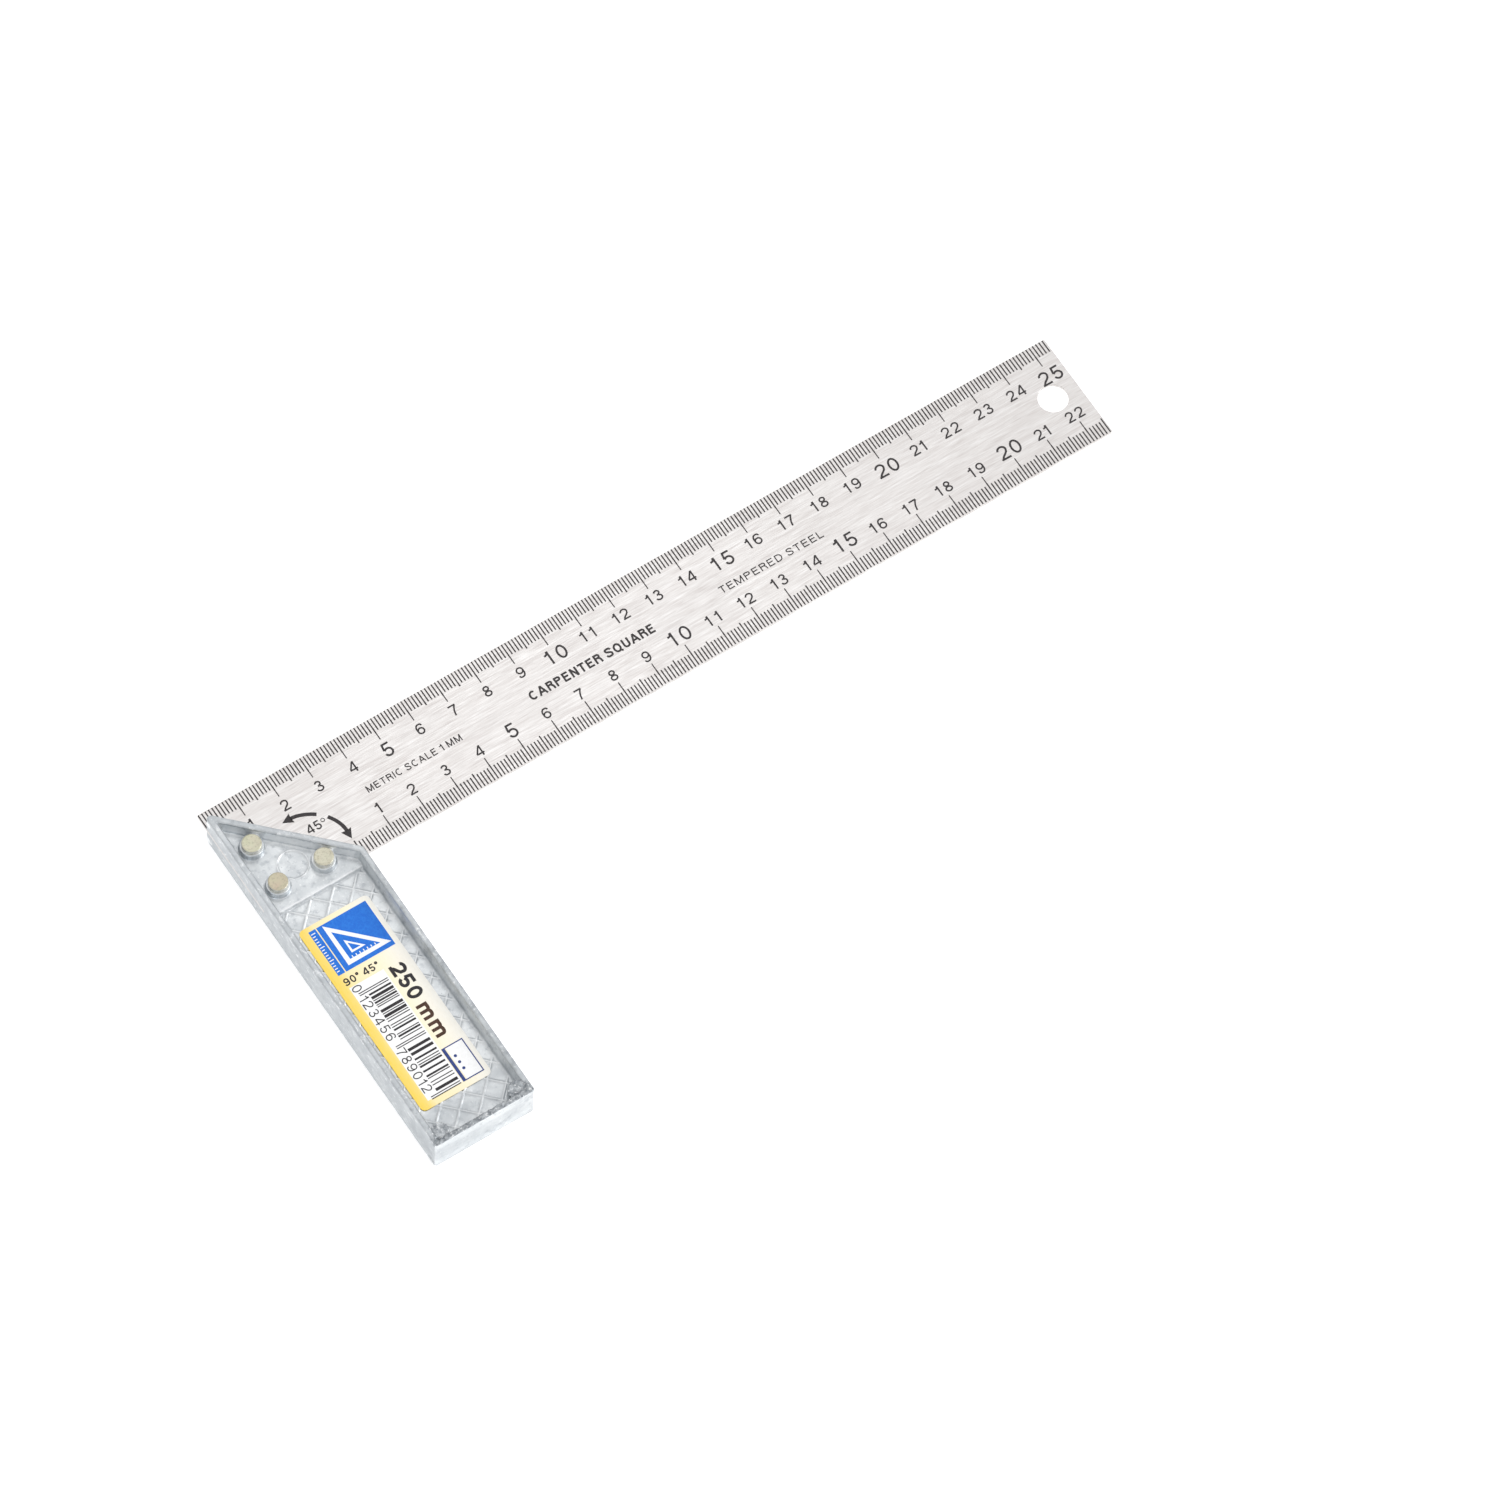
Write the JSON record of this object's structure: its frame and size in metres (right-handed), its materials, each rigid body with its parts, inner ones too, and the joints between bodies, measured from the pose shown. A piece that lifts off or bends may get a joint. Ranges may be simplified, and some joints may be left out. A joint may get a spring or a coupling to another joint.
{
  "type": "try square",
  "caption": "Joiner's try square with a graduated steel blade riveted into the slot of a ribbed cast stock with a 45 degree mitre shoulder and a hanging hole.",
  "frame": {"origin": "middle of the bounding box in plan, on the plane of the stock's lower rims", "axes": "+X along the blade from the stock to the free end, +Y from the stock's free end to the blade's outer edge, +Z the thickness, towards the side with the figures and the label"},
  "size_m": [0.255, 0.1108, 0.012],
  "materials": {
    "cast_stock": "as-cast with ground outer faces",
    "blade_steel": "brushed along its length",
    "plated_rivet": "yellow passivated",
    "label_paper": "coated paper"
  },
  "bodies": {
    "root": {"stock": "cast_stock", "blade": "blade_steel", "rivet_outer": "plated_rivet", "rivet_lower": "plated_rivet", "rivet_inner": "plated_rivet", "label": "label_paper"}
  },
  "joints": []
}
